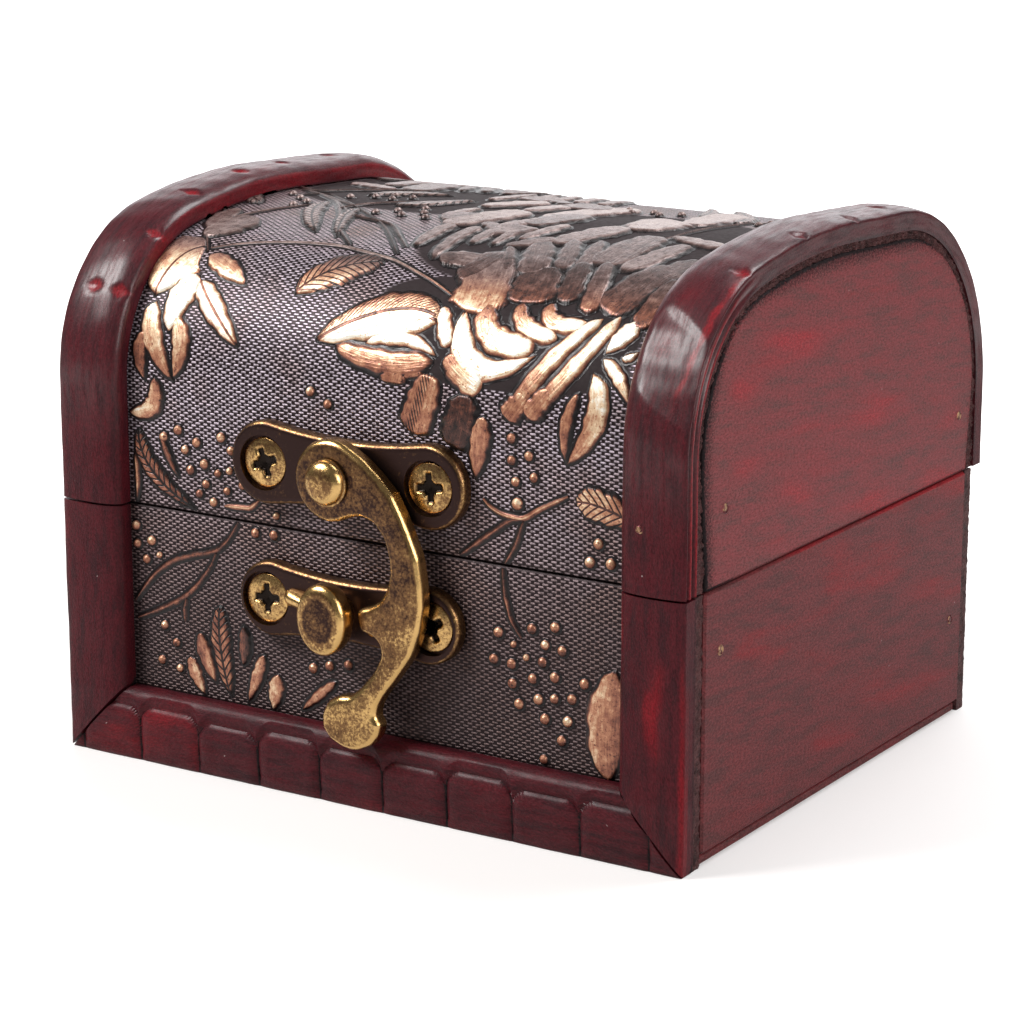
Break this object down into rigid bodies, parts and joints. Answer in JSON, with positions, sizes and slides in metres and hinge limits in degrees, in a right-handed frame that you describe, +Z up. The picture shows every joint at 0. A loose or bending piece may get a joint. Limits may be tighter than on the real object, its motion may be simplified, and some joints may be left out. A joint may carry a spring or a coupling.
{
  "type": "jewelry box",
  "caption": "Small domed chest-shaped wooden jewelry box with a hinged curved lid, embossed leather skin, half-round wooden strips and a brass swing-hook latch.",
  "frame": {"origin": "centre of the box's footprint on the surface it stands on", "axes": "+X along the width to the viewer's right with the latch toward the viewer, -Y out of the front, +Z up"},
  "size_m": [0.08, 0.0741, 0.0639],
  "materials": {
    "stained_wood": "dark red-brown stain under satin varnish",
    "inside_wood": "plain sanded",
    "embossed_leather": "embossed, dark with worn copper relief",
    "antique_brass": "dark patina, bright worn edges",
    "screw_brass": "satin"
  },
  "bodies": {
    "base": {"base_left_side": "stained_wood", "base_right_side": "stained_wood", "base_front_board": "inside_wood", "base_back_board": "inside_wood", "base_bottom_board": "stained_wood", "base_front_facing": "stained_wood", "base_back_facing": "stained_wood", "base_front_leather": "embossed_leather", "base_back_leather": "embossed_leather", "base_left_moulding": "stained_wood", "base_right_moulding": "stained_wood", "base_bottom_moulding": "stained_wood", "keeper_plate": "antique_brass", "keeper_knob": "antique_brass", "keeper_screw_left": "screw_brass", "keeper_screw_right": "screw_brass", "hinge_left_base_leaf": "antique_brass", "hinge_left_pin": "antique_brass", "hinge_left_base_screw_1": "screw_brass", "hinge_left_base_screw_2": "screw_brass", "hinge_right_base_leaf": "antique_brass", "hinge_right_pin": "antique_brass", "hinge_right_base_screw_1": "screw_brass", "hinge_right_base_screw_2": "screw_brass"},
    "lid": {"lid_left_end": "stained_wood", "lid_right_end": "stained_wood", "lid_front_rail": "inside_wood", "lid_back_rail": "inside_wood", "lid_skin": "stained_wood", "lid_leather": "embossed_leather", "lid_left_moulding": "stained_wood", "lid_right_moulding": "stained_wood", "latch_plate": "antique_brass", "latch_rivet": "antique_brass", "latch_screw_left": "screw_brass", "latch_screw_right": "screw_brass", "hinge_left_lid_leaf": "antique_brass", "hinge_left_lid_screw_1": "screw_brass", "hinge_left_lid_screw_2": "screw_brass", "hinge_right_lid_leaf": "antique_brass", "hinge_right_lid_screw_1": "screw_brass", "hinge_right_lid_screw_2": "screw_brass"},
    "hook": {"latch_hook": "antique_brass"}
  },
  "joints": [
    {"name": "lid_hinge", "type": "hinge", "parent": "base", "child": "lid", "pos_m": [0, 0.0354, 0.02923], "axis": [-1, 0, 0], "range_deg": [0, 110]},
    {"name": "hook_pivot", "type": "hinge", "parent": "lid", "child": "hook", "pos_m": [-0.00236, -0.0331, 0.0363], "axis": [0, -1, 0], "range_deg": [0, 120]}
  ]
}
